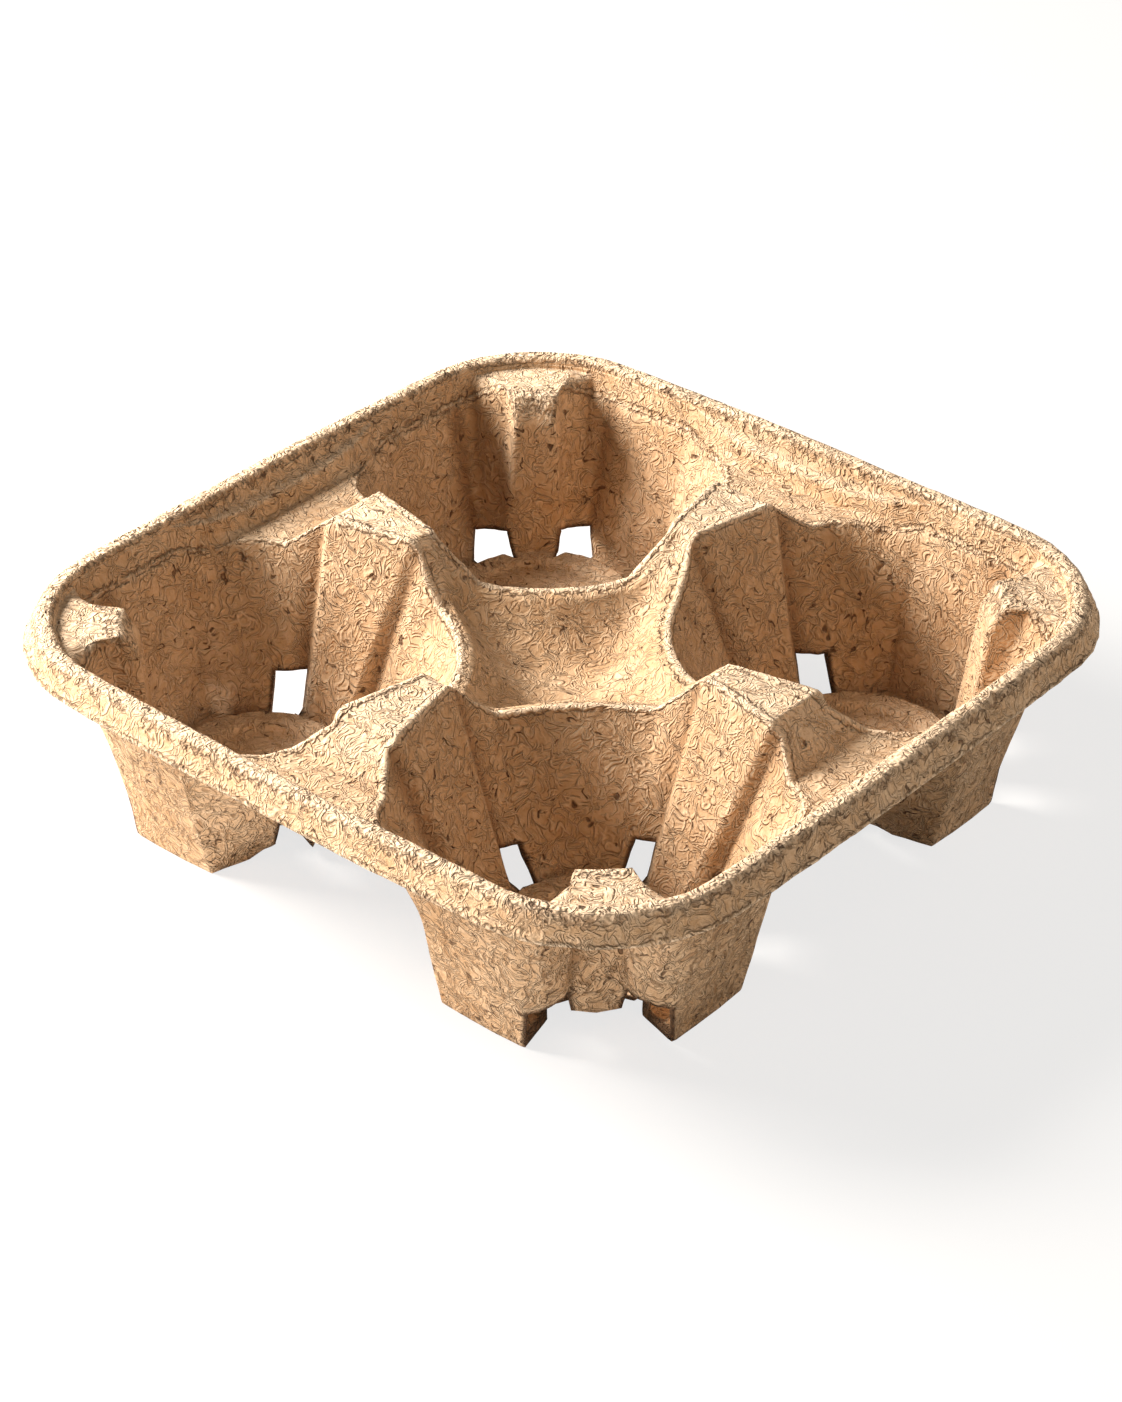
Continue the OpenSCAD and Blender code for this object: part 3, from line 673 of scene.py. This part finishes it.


# The finish of the pressed skin. Its height adds fibres, contour lines, grain and lumps, and takes away
# cracks, dents and the ragged lines beside the crests; its colour follows the same forms, with painted
# light on upward faces, ridges and crests and painted shade in hollows, grooves and beside the fibres.
def pulpMaterial():
    p = pulp
    material = bpy.data.materials.new("kraftPulp")
    graph = Graph(material)
    place = Wire(graph, graph.node("ShaderNodeTexCoord", output=None).outputs["Object"])
    ridge, mark, groove, edge, outer, raised = (
        graph.node("ShaderNodeAttribute", {"attribute_name": name}, output="Fac")
        for name in ("ridge", "crest", "groove", "cutEdge", "outerFace", "raised"))

    def noise(size, seed, detail=1.0, roughness=0.5, where=None):
        moved = graph.vector("ADD", where or place, (seed, seed*0.7, seed*1.3))
        return graph.node("ShaderNodeTexNoise", {}, {
            "Vector": moved, "Scale": 1/size, "Detail": detail, "Roughness": roughness})

    # The fibres follow a slightly wandering place, so that they bend
    wander = graph.node("ShaderNodeTexNoise", {},
                        {"Vector": place, "Scale": p["wanderScale"], "Detail": 0.0}, "Color")
    wandering = graph.vector("ADD", place, graph.vector(
        "SCALE", graph.vector("SUBTRACT", wander, (0.5, 0.5, 0.5)), scale=p["wanderReach"]))
    # Share of the ridges: cracks gather there and fibres stand higher, and the colour lifts there as a
    # painted highlight
    ridgeWearAndHighlight = graph.band(ridge, 0.05, 0.6)

    # Pressed fibres: contour lines of a slow noise, where a second noise lets them show
    turns = noise(p["swirlSize"], 3.0, roughness=0.4, where=wandering)*p["swirlTurns"]
    swirl = graph.band(turns.maths("PINGPONG", 0.5)*2.0, 0.25, 0.95) \
        * graph.band(noise(p["swirlPatch"], 4.0, 0.0), 0.38, 0.58)
    lines, shadows = zip(*(strands(graph, wandering, cell, seed)
                           for seed, cell in enumerate(p["strandCells"], 1)))
    fibre = lines[0].maths("MAXIMUM", lines[1]*0.9).maths("MAXIMUM", lines[2]*0.7)
    beside = shadows[0].maths("MAXIMUM", shadows[1]).maths("MAXIMUM", shadows[2]*0.7)*(1.0 - fibre)

    # Broken cracks between flakes, denser on worn ridges, and upright dents on the outer face
    flake = abs(noise(p["crackCell"], 13.0, where=wandering) - 0.5)
    crack = graph.band(flake, 0.03, 0.008)*graph.band(noise(p["crackPatch"], 6.0) + ridgeWearAndHighlight*0.12, 0.6, 0.68)
    upright = graph.vector("MULTIPLY", wandering, (1.0, 1.0, 0.4))
    dents = graph.band(noise(p["dentSize"], 9.0, where=upright), 0.57, 0.66)*outer
    grain = noise(p["grainSize"], 5.0, 2.0, 0.65)
    cloud = noise(p["cloudSize"], 7.0, 2.0)
    lumps = noise(p["lumpSize"], 8.0, 2.0, 0.55)

    # Ragged broken lines along both sides of every crest
    astray = mark + (noise(p["raggedSize"], 10.0) - 0.5)*0.9
    seam = graph.band(abs(astray - 0.36), 0.14, 0.02)*graph.band(noise(p["seamPatch"], 12.0), 0.4, 0.5) \
        * graph.band(mark, 0.03, 0.15)
    crest = graph.band(astray, 0.45, 0.75)

    height = fibre*(p["fibreHeight"] + 0.35*outer + 0.3*ridgeWearAndHighlight) + swirl*(p["swirlHeight"] + 0.1*outer) \
        + grain*p["grainHeight"] + lumps*p["lumpHeight"] - beside*p["besideDepth"] \
        - crack*p["crackDepth"] - dents*p["dentDepth"] - seam*p["seamDepth"] + crest*p["crestHeight"]
    bump = graph.node("ShaderNodeBump", {}, {
        "Strength": 1.0, "Distance": p["bumpDepth"], "Height": height})

    # Colour: clouded from middle to light, with painted light where faces look up and on the crests, and
    # painted shade in deep brown in hollows, grooves and beside the fibres
    tone = graph.band(cloud*0.5 + lumps*0.45 + fibre*0.16 + swirl*0.06 + grain*0.12 + ridgeWearAndHighlight*0.15,
                      0.42, 0.9, False)
    colour = graph.blend(tone, p["middle"], p["light"])
    # Painted light: upward faces near the rim and on the floors, where grain and lumps allow, and the
    # crests turn pale
    paintedLight = ((raised*0.6)*graph.band(grain + lumps*0.6, 0.55, 0.85)).maths("MAXIMUM", crest*0.6)
    colour = graph.blend(paintedLight, colour, p["paintedLight"])
    # Painted shade: concave folds and the grooves up the walls turn deep brown
    paintedHollowShade = (graph.band(ridge, -0.03, -0.6)*0.5).maths("MAXIMUM", graph.band(groove, 0.25, 1.0)*0.6)
    # Painted shade beside the fibres and in the hollows; the dents darken by their own colour
    dark = (beside*0.3).maths("MAXIMUM", paintedHollowShade).maths("MAXIMUM", dents*0.45)
    colour = graph.blend(dark, colour, p["deep"])

    # Flecks of bark in a few of the cells, and dark cracks, seams and vent edges
    flecks = graph.node("ShaderNodeTexVoronoi", {"feature": "F1"},
                        {"Vector": wandering, "Scale": p["fleckScale"]}, None)
    chance = graph.node("ShaderNodeSeparateColor", {}, [Wire(graph, flecks.outputs["Color"])])
    speck = graph.band(Wire(graph, flecks.outputs["Distance"]), 0.17, 0.1)*graph.band(chance, 0.86, 0.88)
    colour = graph.blend((crack*0.8).maths("MAXIMUM", speck*0.8).maths("MAXIMUM", seam*0.5)
                         .maths("MAXIMUM", graph.band(edge, 0.25, 0.9)*0.85), colour, p["crack"])

    surface = graph.node("ShaderNodeBsdfPrincipled", {}, {
        "Base Color": colour, "Roughness": p["roughness"], "Normal": bump,
        "Specular IOR Level": p["shine"]})
    graph.node("ShaderNodeOutputMaterial", {}, {"Surface": surface}, None)
    return material


# The view of the photograph: where the camera stands round the rim's centre, in degrees and millimetres
camera = {
    "azimuth": 40.17, "elevation": 33.46, "roll": 0.72, "distance": 859.3,
    "slideRight": -0.93, "slideUp": -24.93, "focalPixels": 3542.24, "framePixels": 1122, "sensor": 36,
}


def addCamera():
    azimuth, elevation, roll = (math.radians(camera[key]) for key in ("azimuth", "elevation", "roll"))
    back = Vector((math.sin(azimuth)*math.cos(elevation), -math.cos(azimuth)*math.cos(elevation),
                   math.sin(elevation)))
    level = Vector((math.cos(azimuth), math.sin(azimuth), 0))
    rise = back.cross(level)
    right = level*math.cos(roll) + rise*math.sin(roll)
    up = rise*math.cos(roll) - level*math.sin(roll)
    data = bpy.data.cameras.new("photoView")
    data.sensor_fit, data.sensor_width = "HORIZONTAL", camera["sensor"]
    data.lens = camera["focalPixels"]/camera["framePixels"]*data.sensor_width
    data.clip_start, data.clip_end = 0.01, 50
    place = back*camera["distance"] + right*camera["slideRight"] + up*camera["slideUp"] \
        + Vector((0, 0, rimTop))
    made = bpy.data.objects.new("photoView", data)
    made.matrix_world = Matrix.Translation(place*mm) @ Matrix((right, up, back)).transposed().to_4x4()
    bpy.context.scene.collection.objects.link(made)
    bpy.context.scene.camera = made
    return level, back


# Lamps: direction shares along the picture's right, towards the camera and up; watts and metres
lamps = {
    "key": {"from": (-0.95, -0.29, 0.64), "power": 28, "size": 0.45, "distance": 0.95,
            "tint": (1, 0.94, 0.86)},
    "skirt": {"from": (-0.6, 0.8, 0.05), "power": 2.2, "size": 0.12, "distance": 0.9,
              "tint": (1, 0.94, 0.86)},
    "fill": {"from": (0.85, 0.25, 0.35), "power": 5, "size": 1.0, "distance": 1.4,
             "tint": (1, 0.92, 0.82)},
}


def addLamps(right, back):
    forward = Vector((back.x, back.y, 0)).normalized()
    for name, lamp in lamps.items():
        across, near, high = lamp["from"]
        direction = (right*across + forward*near + Vector((0, 0, high))).normalized()
        data = bpy.data.lights.new(name, "AREA")
        data.energy, data.size, data.color = lamp["power"], lamp["size"], lamp["tint"]
        made = bpy.data.objects.new(name, data)
        made.location = direction*lamp["distance"]
        made.rotation_euler = direction.to_track_quat("Z", "Y").to_euler()
        bpy.context.scene.collection.objects.link(made)


# A warm dim room that the camera, gloss and glass see as white, and a pale floor that keeps the shadow
backdrop = {
    "world": (1.0, 0.84, 0.64), "worldStrength": 0.16,
    "floorSize": 6.0, "floorColour": (0.93, 0.93, 0.93, 1), "floorOwnShare": 0.25,
}


def addBackdrop():
    world = bpy.data.worlds.new("softRoom")
    bpy.context.scene.world = world
    graph = Graph(world)
    path = graph.node("ShaderNodeLightPath", output=None)
    seen = Wire(graph, path.outputs["Is Camera Ray"]) + Wire(graph, path.outputs["Is Glossy Ray"]) \
        + Wire(graph, path.outputs["Is Transmission Ray"])
    seen = seen.maths("MINIMUM", 1.0)
    strength = seen + (1.0 - seen)*backdrop["worldStrength"]
    colour = graph.blend(seen, (*backdrop["world"], 1), (1, 1, 1, 1))
    shine = graph.node("ShaderNodeBackground", {}, {"Color": colour, "Strength": strength})
    graph.node("ShaderNodeOutputWorld", {}, {"Surface": shine}, None)

    half = backdrop["floorSize"]/2
    corners = np.array([[-half, -half, 0], [half, -half, 0], [half, half, 0], [-half, half, 0]])
    floor = meshObject("floor", corners/mm, np.array([[0, 1, 2, 3]]))
    material = bpy.data.materials.new("paleFloor")
    graph = Graph(material)
    path = graph.node("ShaderNodeLightPath", output=None)
    lit = graph.node("ShaderNodeBsdfDiffuse", {}, {"Color": backdrop["floorColour"]})
    white = graph.node("ShaderNodeEmission", {}, {"Color": (1, 1, 1, 1), "Strength": 1.0})
    share = Wire(graph, path.outputs["Is Camera Ray"])*(1 - backdrop["floorOwnShare"])
    made = graph.node("ShaderNodeMixShader", {}, [share, lit, white])
    graph.node("ShaderNodeOutputMaterial", {}, {"Surface": made}, None)
    floor.data.materials.append(material)
    floor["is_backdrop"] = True


print("camera and light")
right, back = addCamera()
addLamps(right, back)
addBackdrop()

print("tray skin")
skinPoints, skinFaces, marks = traySkin()
pressedTray = meshObject("pressedTray", skinPoints, skinFaces)
for name, values in marks.items():
    addAttribute(pressedTray, name, values)
print("triangles", int((skinFaces[:, 2] != skinFaces[:, 3]).sum() + len(skinFaces)))

print("pulp finish")
pressedTray.data.materials.append(pulpMaterial())
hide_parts("tray")
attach(pressedTray, "root")

bpy.context.scene.view_settings.view_transform = "Standard"
